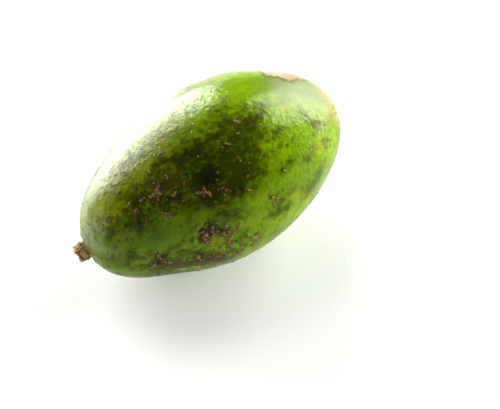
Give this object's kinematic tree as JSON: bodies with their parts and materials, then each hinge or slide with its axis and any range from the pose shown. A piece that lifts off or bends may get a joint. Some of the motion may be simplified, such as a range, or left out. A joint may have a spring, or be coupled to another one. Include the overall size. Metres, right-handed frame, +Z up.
{
  "type": "ambarella",
  "caption": "Ambarella fruit, an oblong green drupe with a waxy skin, corky scars and a short broken stump of stalk, lying on its side",
  "frame": {"origin": "on the resting plane, under the middle of the bounding box", "axes": "+X runs along the fruit from the stalk end to the tip, +Z is up, +Y completes a right-handed frame"},
  "size_m": [0.0904, 0.0514, 0.051],
  "materials": {
    "rind": "satin",
    "bark": "matte"
  },
  "bodies": {
    "root": {"ambarella_fruit": "rind", "stalk_stump": "bark"}
  },
  "joints": []
}
